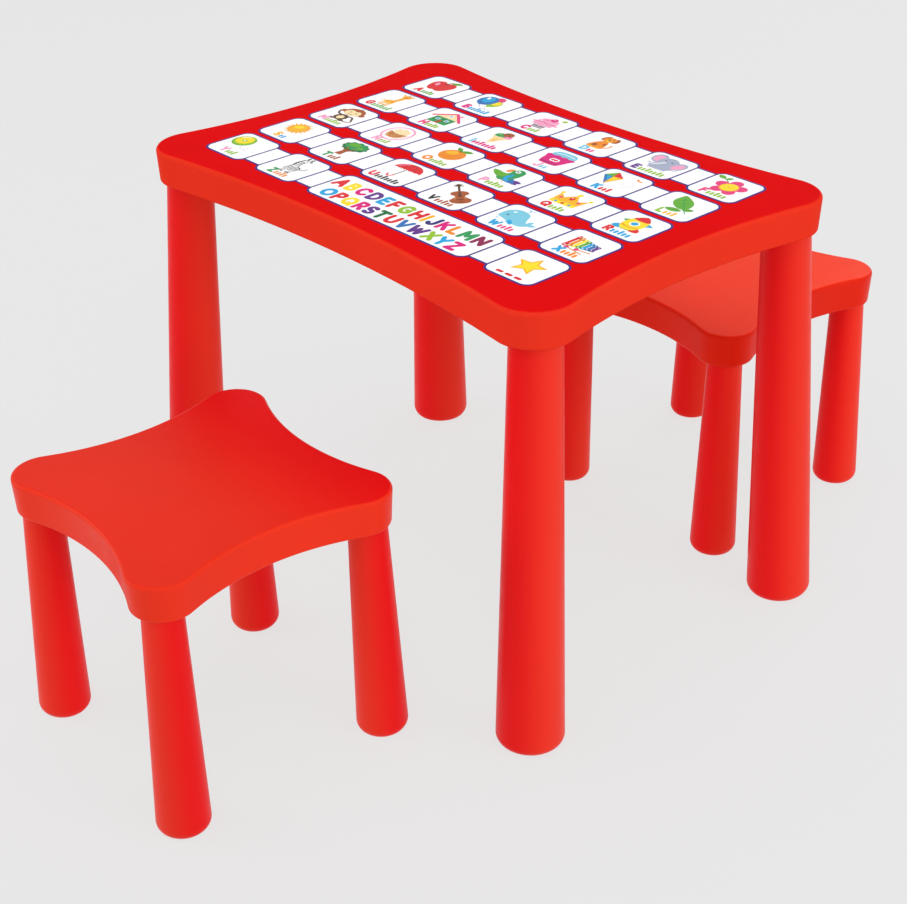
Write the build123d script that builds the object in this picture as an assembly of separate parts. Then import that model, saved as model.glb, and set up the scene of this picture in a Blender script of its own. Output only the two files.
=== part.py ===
from build123d import *
import os
from dataclasses import dataclass
from math import atan, degrees, hypot, sqrt

# A children's moulded-plastic table with two matching stools.
#
# Millimetres, +Z up, the floor at Z = 0. X runs along the table's long side, and
# -Y is the side a child reads the table's stickers from. The origin is on the
# floor, at the middle of the footprint of the whole set.
#
# The table and the stools are built alike: an injection-moulded top with a skirt
# round it, ribs and four sockets underneath, and four hollow tapered legs, each
# with a reduced spigot that plugs into a socket. Five printed stickers lie on the
# table.


@dataclass
class Furniture:
    """The driving dimensions of one piece of furniture, seen about its own centre."""

    half_x: float  # half the top's length
    half_y: float  # half the top's width
    height: float  # floor to the top's upper face
    bow_x: float  # how far the two sides along X curve in at their middle
    bow_y: float  # the same for the two sides along Y
    corner: float  # radius of the round corners, seen from above
    skirt: float  # depth of the skirt
    edge: float  # radius of the upper edge
    foot: tuple  # leg axis where it meets the floor
    head: tuple  # leg axis level with the skirt's lower edge
    foot_radius: float  # leg radius at the floor
    head_radius: float  # leg radius at the skirt's lower edge
    spigot_radius: float  # reduced end that plugs into the socket
    extra_ribs_x: tuple  # ribs across the top, besides those through the sockets
    extra_ribs_y: tuple  # ribs along the top, besides those through the sockets


TABLE = Furniture(
    half_x=306.0,
    half_y=217.0,
    height=480.0,
    bow_x=20.5,
    bow_y=19.0,
    corner=43.0,
    skirt=39.0,
    edge=5.0,
    foot=(289.0, 198.0),
    head=(271.0, 179.0),
    foot_radius=35.5,
    head_radius=25.5,
    spigot_radius=19.5,
    extra_ribs_x=(-135.0, 0.0, 135.0),
    extra_ribs_y=(-60.0, 60.0),
)

STOOL = Furniture(
    half_x=141.5,
    half_y=141.5,
    height=284.0,
    bow_x=21.5,
    bow_y=21.5,
    corner=34.0,
    skirt=39.0,
    edge=4.0,
    foot=(118.5, 118.5),
    head=(113.5, 113.5),
    foot_radius=27.0,
    head_radius=19.5,
    spigot_radius=14.5,
    extra_ribs_x=(0.0,),
    extra_ribs_y=(0.0,),
)

# Where each stool stands, from the table's centre: x, y and turn in degrees.
STOOL_PLACES = {"stool_1": (44.0, -404.0, -3.4), "stool_2": (63.0, 325.0, 0.6)}

# Mouldings
PLATE = 3.5  # thickness of a top
WALL = 3.5  # thickness of a skirt
SKIRT_LEAN = 2.0  # how far a skirt draws in towards its lower edge
RIM_RADIUS = 3.0  # rounding of a skirt's lower edge, outside
RIB_THICKNESS = 2.0
RIB_HEIGHT = 12.0

# Legs and sockets
LEG_WALL = 2.6
FOOT_ROUND = 12.0  # rounding of a leg's closed lower end
FOOT_TRIM = 3.0  # length below the floor that is cut off level
SHOULDER_RISE = 8.0  # how far a leg's full width carries on inside the skirt
SPIGOT_GAP = 3.5  # gap left between a spigot's end and the plate above it
SPIGOT_CHAMFER = 1.5
SOCKET_CLEARANCE = 0.3  # radial gap between spigot and socket
SOCKET_WALL = 3.0

# Stickers: rows of square cards joined by narrower bridges
CARD_COLUMNS = 6
CARD_ROWS = 5
CARD_SIZE = 64.5
CARD_PITCH_X = 88.0
CARD_PITCH_Y = 70.3
CARD_CORNER = 12.0
BRIDGE_WIDTH = 47.0
STICKER_THICKNESS = 0.25
PANEL_ROW = 5  # the row with the long alphabet panel
PANEL_COLUMNS = (3, 5)  # the columns that the panel fills, first and last

CORNER_SIGNS = {
    "front_left": (-1, -1),
    "front_right": (1, -1),
    "back_right": (1, 1),
    "back_left": (-1, 1),
}


def bowed_face(f, inset, z):
    """The top's outline: four sides that curve inward and meet four round corners.

    Each side is one arc, tangent to the corner arcs at both of its ends. An inset
    outline keeps the same arc centres.
    """
    corner = f.corner - inset
    centre_x = f.half_x - f.corner
    centre_y = f.half_y - f.corner
    # distance from a corner's centre to the centre of the side arc that follows it
    reach_x = (centre_x**2 + f.bow_x**2) / (2 * f.bow_x)
    reach_y = (centre_y**2 + f.bow_y**2) / (2 * f.bow_y)
    # points of the first quarter: where the corner arc starts, its middle, its end
    on_short_side = (
        centre_x + corner * (reach_y - f.bow_y) / reach_y,
        centre_y - corner * centre_y / reach_y,
    )
    on_long_side = (
        centre_x - corner * centre_x / reach_x,
        centre_y + corner * (reach_x - f.bow_x) / reach_x,
    )
    knee = (centre_x + corner / sqrt(2), centre_y + corner / sqrt(2))
    mid_long = f.half_y - inset - f.bow_x
    mid_short = f.half_x - inset - f.bow_y

    def quarter(point, signs):
        return (point[0] * signs[0], point[1] * signs[1])

    pp, mp, mm, pm = (1, 1), (-1, 1), (-1, -1), (1, -1)
    arcs = [
        ThreePointArc(quarter(on_short_side, pp), quarter(knee, pp), quarter(on_long_side, pp)),
        ThreePointArc(quarter(on_long_side, pp), (0, mid_long), quarter(on_long_side, mp)),
        ThreePointArc(quarter(on_long_side, mp), quarter(knee, mp), quarter(on_short_side, mp)),
        ThreePointArc(quarter(on_short_side, mp), (-mid_short, 0), quarter(on_short_side, mm)),
        ThreePointArc(quarter(on_short_side, mm), quarter(knee, mm), quarter(on_long_side, mm)),
        ThreePointArc(quarter(on_long_side, mm), (0, -mid_long), quarter(on_long_side, pm)),
        ThreePointArc(quarter(on_long_side, pm), quarter(knee, pm), quarter(on_short_side, pm)),
        ThreePointArc(quarter(on_short_side, pm), (mid_short, 0), quarter(on_short_side, pp)),
    ]
    return Pos(0, 0, z) * make_face(arcs)


def leg_axis(f, signs):
    """The plane at a leg's foot whose Z runs up the leg's leaning axis."""
    foot = Vector(f.foot[0] * signs[0], f.foot[1] * signs[1], 0)
    head = Vector(f.head[0] * signs[0], f.head[1] * signs[1], f.height - f.skirt)
    return Plane(origin=foot, z_dir=head - foot)


def lengths_up_leg(f):
    """Distances along a leg's axis: to the skirt's edge, the shoulder and the spigot's end."""
    drop = f.height - f.skirt
    to_skirt = hypot(f.foot[0] - f.head[0], f.foot[1] - f.head[1], drop)
    shoulder = to_skirt + SHOULDER_RISE
    end = to_skirt + f.skirt - PLATE - SPIGOT_GAP
    return to_skirt, shoulder, end


def make_leg(f, signs):
    """A hollow leg: tapered, closed and rounded at the foot, open at its spigot."""
    to_skirt, shoulder, end = lengths_up_leg(f)
    taper = (f.foot_radius - f.head_radius) / to_skirt
    low_radius = f.foot_radius + taper * FOOT_TRIM
    shoulder_radius = f.head_radius - taper * SHOULDER_RISE
    bore = f.spigot_radius - LEG_WALL
    outside = Polyline(
        (0, -FOOT_TRIM),
        (low_radius, -FOOT_TRIM),
        (shoulder_radius, shoulder),
        (f.spigot_radius, shoulder),
        (f.spigot_radius, end - SPIGOT_CHAMFER),
        (f.spigot_radius - SPIGOT_CHAMFER, end),
        (0, end),
        close=True,
    )
    inside = Polyline(
        (0, LEG_WALL),
        (f.foot_radius - LEG_WALL, LEG_WALL),
        (shoulder_radius - LEG_WALL, shoulder - 2 * LEG_WALL),
        (bore, shoulder - LEG_WALL),
        (bore, end + 1),
        (0, end + 1),
        close=True,
    )
    body = revolve(Plane.XZ * make_face(outside), Axis.Z)
    body = fillet(body.edges().sort_by(Axis.Z)[0], FOOT_ROUND)
    hollow = revolve(Plane.XZ * make_face(inside), Axis.Z)
    hollow = fillet(hollow.edges().sort_by(Axis.Z)[0], FOOT_ROUND - LEG_WALL)
    leg = leg_axis(f, signs) * (body - hollow)
    above_floor = Pos(0, 0, f.height / 2) * Box(3 * f.half_x, 3 * f.half_y, f.height)
    return leg & above_floor


def make_top(f):
    """A moulded top: plate, leaning skirt, crossed ribs and four leg sockets."""
    lean = degrees(atan(SKIRT_LEAN / f.skirt))
    down = (0, 0, -1)
    outer = extrude(bowed_face(f, 0, f.height), f.skirt, dir=down, taper=lean)
    outer = fillet(outer.faces().sort_by(Axis.Z)[-1].edges(), f.edge)
    outer = fillet(outer.faces().sort_by(Axis.Z)[0].edges(), RIM_RADIUS)
    hollow = extrude(bowed_face(f, WALL, f.height - PLATE), f.skirt, dir=down, taper=lean)

    underside = f.height - PLATE
    ribs_x = (-f.head[0], *f.extra_ribs_x, f.head[0])
    ribs_y = (-f.head[1], *f.extra_ribs_y, f.head[1])
    rib_z = underside - RIB_HEIGHT / 2
    ribs = [Pos(x, 0, rib_z) * Box(RIB_THICKNESS, 2 * f.half_y, RIB_HEIGHT) for x in ribs_x]
    ribs += [Pos(0, y, rib_z) * Box(2 * f.half_x, RIB_THICKNESS, RIB_HEIGHT) for y in ribs_y]

    _, shoulder, _ = lengths_up_leg(f)
    bore = f.spigot_radius + SOCKET_CLEARANCE
    sockets = []
    bores = []
    for signs in CORNER_SIGNS.values():
        plane = leg_axis(f, signs)
        tube = Cylinder(bore + SOCKET_WALL, f.skirt, align=(Align.CENTER, Align.CENTER, Align.MIN))
        hole = Cylinder(bore, f.skirt, align=(Align.CENTER, Align.CENTER, Align.MIN))
        sockets.append(plane * Pos(0, 0, shoulder) * tube)
        bores.append(plane * Pos(0, 0, shoulder) * hole)
    # the bores stop at the plate
    plate_zone = Pos(0, 0, underside + f.skirt) * Box(3 * f.half_x, 3 * f.half_y, 2 * f.skirt)
    bores = [hole - plate_zone for hole in bores]

    structure = Compound(ribs[0].fuse(*ribs[1:], *sockets).solids()) & hollow
    return (outer - hollow).fuse(*structure.solids()).cut(*bores)


def sticker_outline(row):
    """One row of cards as a flat sketch about the row's middle."""
    first_x = -CARD_PITCH_X * (CARD_COLUMNS - 1) / 2
    last_x = -first_x
    sketch = Rectangle(last_x - first_x, BRIDGE_WIDTH)
    for column in range(CARD_COLUMNS):
        sketch += Pos(first_x + column * CARD_PITCH_X, 0) * RectangleRounded(
            CARD_SIZE, CARD_SIZE, CARD_CORNER
        )
    if row == PANEL_ROW:
        first, last = PANEL_COLUMNS
        length = (last - first) * CARD_PITCH_X + CARD_SIZE
        middle = first_x + ((first + last) / 2 - 1) * CARD_PITCH_X
        sketch += Pos(middle, 0) * RectangleRounded(length, CARD_SIZE, CARD_CORNER)
    return sketch


def make_sticker(row):
    """Row 1 is the furthest from the reader."""
    y = ((CARD_ROWS + 1) / 2 - row) * CARD_PITCH_Y
    return extrude(Pos(0, y, TABLE.height) * sticker_outline(row), STICKER_THICKNESS)


def build_set():
    """Every piece, placed about the table's centre, by its name."""
    pieces = {"table_top": make_top(TABLE)}
    for corner, signs in CORNER_SIGNS.items():
        pieces[f"table_leg_{corner}"] = make_leg(TABLE, signs)
    for row in range(1, CARD_ROWS + 1):
        pieces[f"sticker_row_{row}"] = make_sticker(row)
    seat = make_top(STOOL)
    legs = {corner: make_leg(STOOL, signs) for corner, signs in CORNER_SIGNS.items()}
    for stool, (x, y, turn) in STOOL_PLACES.items():
        place = Pos(x, y, 0) * Rot(0, 0, turn)
        pieces[f"{stool}_seat"] = place * seat
        for corner, leg in legs.items():
            pieces[f"{stool}_leg_{corner}"] = place * leg
    return pieces


pieces = build_set()
footprint = Compound(list(pieces.values())).bounding_box()
to_origin = Pos(-footprint.center().X, -footprint.center().Y, 0)
print("the table's centre is at", -footprint.center().X, -footprint.center().Y)

os.makedirs("parts", exist_ok=True)
for name, shape in pieces.items():
    export_step(to_origin * shape, f"parts/{name}.step")
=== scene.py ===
"""Looks for the children's table and its two stools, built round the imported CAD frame.

The red mouldings are the CAD nodes, with procedural plastics. Each CAD sticker is the
violet film of one row of cards. Everything printed on it is built here, as thin closed
slabs of ink that rise a little higher each time one colour covers another.
"""

import math

import bpy
from mathutils import Matrix, Vector
from mathutils.geometry import tessellate_polygon


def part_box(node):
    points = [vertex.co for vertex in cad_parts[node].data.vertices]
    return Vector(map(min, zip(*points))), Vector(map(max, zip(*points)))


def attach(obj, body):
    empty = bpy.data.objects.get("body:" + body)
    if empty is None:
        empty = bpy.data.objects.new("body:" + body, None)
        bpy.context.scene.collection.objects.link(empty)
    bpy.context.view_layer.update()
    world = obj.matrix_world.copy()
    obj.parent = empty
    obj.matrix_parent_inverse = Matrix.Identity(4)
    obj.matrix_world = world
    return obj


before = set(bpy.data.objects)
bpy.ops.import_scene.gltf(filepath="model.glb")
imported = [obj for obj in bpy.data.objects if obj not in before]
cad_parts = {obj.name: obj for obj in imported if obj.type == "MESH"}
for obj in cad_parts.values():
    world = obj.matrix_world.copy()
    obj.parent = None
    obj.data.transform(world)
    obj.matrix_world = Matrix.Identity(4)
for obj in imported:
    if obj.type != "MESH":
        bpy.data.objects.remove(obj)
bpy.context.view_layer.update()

MM = 0.001
STOOLS = ("stool_1", "stool_2")

# ------------------------------------------------------------------ places, from the frame
top_low, top_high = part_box("table_top")
TABLE_CENTRE = (top_low + top_high) / 2
FILM_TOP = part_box("sticker_row_1")[1].z

CARD_COLUMNS = 6
CARD_ROWS = 5
PANEL_ROW = 5  # the row nearest the reader, with the long alphabet panel
PANEL_COLUMNS = (3, 5)

# The stickers' own measures, in millimetres
OUTLINE = 2.5  # width of the violet line left round the white
CARD_CORNER = 12.0
BRIDGE_WIDTH = 47.0
BRIDGE_CORNER = 0.3
INK_STEP = 0.03  # how much higher each further ink lies
LAYER_SPREAD = 0.9  # how far up towards the next layer the shapes of one layer reach
INK_ROOT = 0.01  # how deep a slab of ink is rooted in the film

row_low, row_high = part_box("sticker_row_1")
CARD_SIZE = (row_high.y - row_low.y) / MM
CARD_PITCH = (row_high.x - row_low.x - (row_high.y - row_low.y)) / (CARD_COLUMNS - 1) / MM


def card_centre(row, column):
    """The middle of a card, in metres. Row 1 is the furthest from the reader."""
    low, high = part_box(f"sticker_row_{row}")
    half = (high.y - low.y) / 2
    return low.x + half + (column - 1) * CARD_PITCH * MM, (low.y + high.y) / 2


# ------------------------------------------------------------------ camera
CAMERA_FROM_TABLE = Vector((1.290, -1.193, 1.155))  # from the floor below the table's centre
CAMERA_AZIMUTH = 48.17
CAMERA_ELEVATION = 30.16
CAMERA_ROLL = -0.79
CAMERA_LENS = 70.3
SENSOR_WIDTH = 36.0


def add_camera():
    azimuth = math.radians(CAMERA_AZIMUTH)
    elevation = math.radians(CAMERA_ELEVATION)
    back = Vector(
        (
            math.sin(azimuth) * math.cos(elevation),
            -math.cos(azimuth) * math.cos(elevation),
            math.sin(elevation),
        )
    )
    right = Vector((0, 0, 1)).cross(back).normalized()
    up = back.cross(right)
    level = Matrix((right, up, back)).transposed()
    roll = Matrix.Rotation(math.radians(CAMERA_ROLL), 3, "Z")
    data = bpy.data.cameras.new("camera")
    data.sensor_width = SENSOR_WIDTH
    data.lens = CAMERA_LENS
    camera = bpy.data.objects.new("camera", data)
    place = Vector((TABLE_CENTRE.x, TABLE_CENTRE.y, 0)) + CAMERA_FROM_TABLE
    camera.matrix_world = Matrix.Translation(place) @ (level @ roll).to_4x4()
    bpy.context.scene.collection.objects.link(camera)
    bpy.context.scene.camera = camera


# ------------------------------------------------------------------ light and floor
FLOOR_SIZE = 40.0
FLOOR_GREY = (0.09, 0.09, 0.09, 1)
FLOOR_GLOW = 0.71
FLOOR_ROUGHNESS = 0.9
FLOOR_GLOSS = 0.1
# name: place, aim (metres from the table's foot), size (metres), power (watts), colour
SOFTBOXES = {
    "overhead": ((0.3, -0.5, 3.2), (0.0, 0.0, 0.4), 3.0, 34.0, (1.0, 0.99, 0.97)),
    "left": ((-2.4, -2.4, 1.4), (0.0, 0.0, 0.3), 2.0, 32.0, (1.0, 0.96, 0.91)),
    "right": ((3.0, 0.8, 1.3), (0.0, 0.0, 0.3), 1.6, 27.0, (1.0, 0.96, 0.91)),
    "back": ((-0.6, 2.9, 2.2), (0.1, 0.4, 0.2), 1.8, 16.0, (1.0, 0.97, 0.94)),
    "front": ((2.6, -2.6, 1.5), (0.0, 0.0, 0.3), 2.0, 21.0, (1.0, 0.97, 0.94)),
}
WORLD_ZENITH = (0.47, 0.47, 0.48, 1.0)
WORLD_GLOW = (0.86, 0.86, 0.86, 1.0)
WORLD_HORIZON = (0.807, 0.807, 0.807, 1.0)  # as bright as the far floor, so that no edge shows
WORLD_STRENGTH = 0.97
# the sine of the height above the horizon at which each colour stands
WORLD_BANDS = ((0.0, WORLD_HORIZON), (0.12, WORLD_GLOW), (0.7, WORLD_ZENITH))


def add_lights():
    foot = Vector((TABLE_CENTRE.x, TABLE_CENTRE.y, 0))
    for name, (place, aim, size, power, colour) in SOFTBOXES.items():
        data = bpy.data.lights.new(name, "AREA")
        data.shape = "SQUARE"
        data.size = size
        data.energy = power
        data.color = colour
        light = bpy.data.objects.new(name, data)
        light.location = foot + Vector(place)
        light.rotation_euler = (Vector(aim) - Vector(place)).to_track_quat("-Z", "Y").to_euler()
        bpy.context.scene.collection.objects.link(light)


def add_world():
    """A pale studio, brighter towards the horizon than overhead."""
    world = bpy.data.worlds.new("studio")
    bpy.context.scene.world = world
    world.use_nodes = True
    tree = world.node_tree
    background = tree.nodes["Background"]
    place = tree.nodes.new("ShaderNodeTexCoord")
    split = tree.nodes.new("ShaderNodeSeparateXYZ")
    ramp = tree.nodes.new("ShaderNodeValToRGB")
    elements = ramp.color_ramp.elements
    elements.new(0.5)
    for element, (position, colour) in zip(elements, WORLD_BANDS):
        element.position = position
        element.color = colour
    tree.links.new(place.outputs["Generated"], split.inputs[0])
    tree.links.new(split.outputs["Z"], ramp.inputs["Fac"])
    tree.links.new(ramp.outputs["Color"], background.inputs["Color"])
    background.inputs["Strength"].default_value = WORLD_STRENGTH


def add_floor():
    """A back-lit studio floor: it glows a little, so that the shadows stay faint."""
    bpy.ops.mesh.primitive_plane_add(size=FLOOR_SIZE, location=(0, 0, 0))
    floor = bpy.context.object
    floor.name = "floor"
    material = bpy.data.materials.new("floor")
    material.use_nodes = True
    shader = material.node_tree.nodes["Principled BSDF"]
    shader.inputs["Base Color"].default_value = FLOOR_GREY
    shader.inputs["Roughness"].default_value = FLOOR_ROUGHNESS
    shader.inputs["Specular IOR Level"].default_value = FLOOR_GLOSS
    shader.inputs["Emission Color"].default_value = (1, 1, 1, 1)
    shader.inputs["Emission Strength"].default_value = FLOOR_GLOW
    floor.data.materials.append(material)


# ------------------------------------------------------------------ materials
def linear(code):
    """A colour given as six hex digits, as the shader wants it."""
    parts = [int(code[i : i + 2], 16) / 255 for i in (0, 2, 4)]
    return [c / 12.92 if c < 0.04045 else ((c + 0.055) / 1.055) ** 2.4 for c in parts] + [1.0]


def shade(colour, factor):
    return [min(1.0, c * factor) for c in colour[:3]] + [1.0]


NOISE_SPAN = (0.3, 0.7)  # the part of a noise's range that is used
LEVEL = (0.72, 0.995)  # the upward part of a normal from which a face begins, and is, level
FADE = (0.35, 0.95)  # where along a piece the painted highlight on its level faces begins, and ends, to give way to a plainer red
SIDE = (-0.75, 0.75)  # how far a face is turned to the light, from the deep side to the lit one


class Look:
    """A Principled material whose colour, roughness and bump come from noise on the surface."""

    def __init__(self, name):
        self.material = bpy.data.materials.new(name)
        self.material.use_nodes = True
        self.tree = self.material.node_tree
        self.shader = self.tree.nodes["Principled BSDF"]
        self.coordinates = self.tree.nodes.new("ShaderNodeTexCoord").outputs

    def set(self, **values):
        for name, value in values.items():
            self.shader.inputs[name.replace("_", " ")].default_value = value

    def noise(self, scale, detail=2.0, stretch=(1, 1, 1)):
        mapping = self.tree.nodes.new("ShaderNodeMapping")
        mapping.inputs["Scale"].default_value = stretch
        noise = self.tree.nodes.new("ShaderNodeTexNoise")
        noise.inputs["Scale"].default_value = scale
        noise.inputs["Detail"].default_value = detail
        self.tree.links.new(self.coordinates["Object"], mapping.inputs["Vector"])
        self.tree.links.new(mapping.outputs["Vector"], noise.inputs["Vector"])
        return noise.outputs["Fac"]

    def ramp(self, fac, low, high):
        """From one colour to another over the range of a noise."""
        ramp = self.tree.nodes.new("ShaderNodeValToRGB")
        for element, position, colour in zip(ramp.color_ramp.elements, NOISE_SPAN, (low, high)):
            element.position = position
            element.color = colour
        self.tree.links.new(fac, ramp.inputs["Fac"])
        return ramp.outputs["Color"]

    def roughen(self, fac, low, high):
        mapped = self.tree.nodes.new("ShaderNodeMapRange")
        mapped.inputs["From Min"].default_value, mapped.inputs["From Max"].default_value = NOISE_SPAN
        mapped.inputs["To Min"].default_value = low
        mapped.inputs["To Max"].default_value = high
        self.tree.links.new(fac, mapped.inputs["Value"])
        self.tree.links.new(mapped.outputs["Result"], self.shader.inputs["Roughness"])

    def bump(self, *layers):
        """Each layer is a height, how deep it is in metres, and its strength."""
        normal = None
        for height, depth, strength in layers:
            bump = self.tree.nodes.new("ShaderNodeBump")
            bump.inputs["Distance"].default_value = depth
            bump.inputs["Strength"].default_value = strength
            self.tree.links.new(height, bump.inputs["Height"])
            if normal:
                self.tree.links.new(normal, bump.inputs["Normal"])
            normal = bump.outputs["Normal"]
        self.tree.links.new(normal, self.shader.inputs["Normal"])

    def component(self, coordinate, axis):
        split = self.tree.nodes.new("ShaderNodeSeparateXYZ")
        self.tree.links.new(self.coordinates[coordinate], split.inputs[0])
        return split.outputs[axis]

    def by_slope(self, side, top):
        """One colour on steep faces and another on level ones."""
        return self.blend(self.component("Normal", "Z"), LEVEL, side, top)

    def blend(self, value, span, first, second):
        """A soft change from one colour to another as a value runs over a span."""
        share = self.tree.nodes.new("ShaderNodeMapRange")
        share.interpolation_type = "SMOOTHSTEP"
        share.inputs["From Min"].default_value, share.inputs["From Max"].default_value = span
        mix = self.tree.nodes.new("ShaderNodeMix")
        mix.data_type = "RGBA"
        self.tree.links.new(value, share.inputs["Value"])
        self.tree.links.new(share.outputs["Result"], mix.inputs["Factor"])
        self.tree.links.new(first, mix.inputs["A"])
        self.tree.links.new(second, mix.inputs["B"])
        return mix.outputs["Result"]

    def along_y(self, near, far):
        """One colour on the -Y side of a piece and another on its +Y side."""
        return self.blend(self.component("Generated", "Y"), FADE, near, far)

    def by_side(self, away, facing, direction):
        """One colour on faces turned away from a direction and another on those facing it."""
        dot = self.tree.nodes.new("ShaderNodeVectorMath")
        dot.operation = "DOT_PRODUCT"
        dot.inputs[1].default_value = direction
        self.tree.links.new(self.coordinates["Normal"], dot.inputs[0])
        return self.blend(dot.outputs["Value"], SIDE, away, facing)

    def colour(self, socket):
        self.tree.links.new(socket, self.shader.inputs["Base Color"])


# noise scales are per metre, and depths are in metres
FLOW_SCALE = 7.0
CLOUDING = (0.96, 1.03)  # the darkest and the lightest share of a colour
PEEL_SCALE, PEEL_DEPTH, PEEL_STRENGTH = 420.0, 0.00006, 0.35
GRAIN_SCALE, GRAIN_DEPTH, GRAIN_STRENGTH = 1900.0, 0.00002, 0.25
SHEEN_SCALE = 55.0
PLASTIC_ROUGHNESS = (0.30, 0.40)
PLASTIC_TINT = (1.0, 0.36, 0.24, 1.0)  # the red that a satin skin lends to its highlights


def moulded_plastic(name, code, top_shading=None, highlight_fades_to=None, lit=None, gloss=0.2, ior=1.49, stretch=(1, 1, 1)):
    """Satin polypropylene: faint clouding from the melt's flow, and a fine orange-peel skin.

    The level faces of a moulding may carry painted light or shade, a colour other than its
    skirt's, and a painted highlight on them may pass to another colour towards +Y. A leg may be
    painted lighter on its lit side: lit is that colour and direction.
    """
    look = Look(name)
    flow = look.noise(FLOW_SCALE, 3.0, stretch)

    def clouded(tint):
        return look.ramp(flow, *(shade(linear(tint), share) for share in CLOUDING))

    colour = clouded(code)
    # painted light and shade: level faces get a colour of their own for how the light falls on them
    if top_shading:
        top = look.along_y(clouded(top_shading), clouded(highlight_fades_to)) if highlight_fades_to else clouded(top_shading)
        colour = look.by_slope(colour, top)
    if lit:
        colour = look.by_side(colour, clouded(lit[0]), lit[1])
    look.colour(colour)
    look.roughen(look.noise(SHEEN_SCALE, 3.0), *PLASTIC_ROUGHNESS)
    look.bump(
        (look.noise(PEEL_SCALE, 1.0), PEEL_DEPTH, PEEL_STRENGTH),
        (look.noise(GRAIN_SCALE, 2.0), GRAIN_DEPTH, GRAIN_STRENGTH),
    )
    look.set(IOR=ior, Specular_IOR_Level=gloss, Specular_Tint=PLASTIC_TINT)
    return look.material


MOTTLE_SCALE = 650.0
MOTTLING = (0.97, 1.02)
LAMINATE_SCALE = 90.0
WAVE_SCALE, WAVE_DEPTH, WAVE_STRENGTH = 160.0, 0.00004, 0.3
FILM_ROUGHNESS = (0.32, 0.42)
FILM_IOR = 1.5
FILM_GLOSS = 0.12


def printed_film(name, code, glow=0.0):
    """Printed vinyl under a satin laminate: tiny ink mottle and a barely wavy surface."""
    look = Look(name)
    colour = linear(code)
    mottle = look.noise(MOTTLE_SCALE, 2.0)
    look.colour(look.ramp(mottle, *(shade(colour, share) for share in MOTTLING)))
    look.roughen(look.noise(LAMINATE_SCALE, 2.0), *FILM_ROUGHNESS)
    look.bump((look.noise(WAVE_SCALE, 2.0), WAVE_DEPTH, WAVE_STRENGTH))
    look.set(IOR=FILM_IOR, Specular_IOR_Level=FILM_GLOSS)
    # painted glow where glow is above nought: the film gives off a little light though it is no lamp
    look.set(Emission_Color=(1, 1, 1, 1), Emission_Strength=glow)
    return look.material


WHITE_PAINTED_GLOW = 0.05  # painted glow: the white ink gives off a little light of its own
INKS = {
    "white": "FBFBFD",
    "violet": "2E2180",
    "red": "DF1F26",
    "dark_red": "A3181F",
    "maroon": "8E1B4F",
    "rose": "E8387B",
    "magenta": "DD0A7E",
    "pink": "F5A3C7",
    "orange": "F08C14",
    "tan": "D99A5B",
    "gold": "F8B81E",
    "yellow": "FFE01F",
    "cream": "FBE3AE",
    "lime": "93C224",
    "leaf": "64AE2D",
    "green": "2B9B55",
    "dark_green": "0B6B38",
    "cyan": "16A5E0",
    "sky": "7CCBE3",
    "blue": "2A72B9",
    "purple": "61308D",
    "navy": "2B2A75",
    "grey": "A7AFC6",
    "pale_grey": "D8DCE6",
    "brown": "A95426",
    "dark_brown": "5A3A22",
    "black": "26262A",
}

add_camera()
bpy.context.scene.view_settings.view_transform = "Standard"
add_world()
add_lights()
add_floor()


# ------------------------------------------------------------------ mouldings
# painted light and shade: each leg is a deeper red on its shaded side and a lighter orange-red on the side
# turned to the light
LEG_SHADED = "E3171A"
LEG_LIT = "E63526"
LIT_TOWARDS_RIGHT = (0.667, 0.745, 0.0)  # as the camera sees it
LIT_TOWARDS_LEFT = (-0.667, -0.745, 0.0)
GRAIN = (1, 1, 0.25)  # the melt flowed along the legs


def leg_plastic(name, light_side):
    return moulded_plastic(name, LEG_SHADED, lit=(LEG_LIT, light_side), gloss=0.09, stretch=GRAIN)


def dress_mouldings():
    # painted shade: the table's level faces are painted a deeper red than its skirt
    top = moulded_plastic("plastic_table_top", "E13320", top_shading="DC0D10", gloss=0.025, ior=1.12)
    # painted highlight: the seat's level faces are orange-red on the -Y side, passing to a plainer red
    # towards +Y
    seat = moulded_plastic("plastic_seat", "E5341F", top_shading="E32E1C", highlight_fades_to="E20F12", gloss=0.08)
    looks = {
        "table_top": top,
        "stool_1_seat": seat,
        # painted light and shade: a separate copy of the seat plastic for the stool in the table's shade,
        # its level faces painted lighter
        "stool_2_seat": moulded_plastic("plastic_seat_2_painted_light", "DA2513", top_shading="F83B1C", gloss=0.08),
        # painted light: the first stool's legs are painted lighter on their left side, the others on their
        # right
        "stool_1_leg": leg_plastic("plastic_leg_1", LIT_TOWARDS_LEFT),
        "leg": leg_plastic("plastic_leg", LIT_TOWARDS_RIGHT),
        "sticker": printed_film("film_violet", INKS["violet"]),
    }
    for name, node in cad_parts.items():
        kind = next(kind for kind in looks if kind in name)
        node.data.materials.clear()
        node.data.materials.append(looks[kind])


dress_mouldings()


# ------------------------------------------------------------------ flat shapes, in millimetres
# A shape is a list of loops: its outline first, then any holes.
def polar(x, y, reach, angle, height=None):
    """The point at a reach and an angle in degrees; height is the reach upwards if it differs."""
    height = reach if height is None else height
    return x + reach * math.cos(math.radians(angle)), y + height * math.sin(math.radians(angle))


def oval(x, y, rx, ry=None, turn=0.0, start=0.0, end=360.0, steps=36):
    """A circle or ellipse, or the slice of one between two angles."""
    ry = rx if ry is None else ry
    whole = end - start == 360
    tilt = math.radians(turn)
    points = []
    for i in range(steps if whole else steps + 1):
        across, along = polar(0, 0, rx, start + (end - start) * i / steps, ry)
        points.append(
            (
                x + across * math.cos(tilt) - along * math.sin(tilt),
                y + across * math.sin(tilt) + along * math.cos(tilt),
            )
        )
    return [points]


def polygon(*points):
    return [list(points)]


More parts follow.
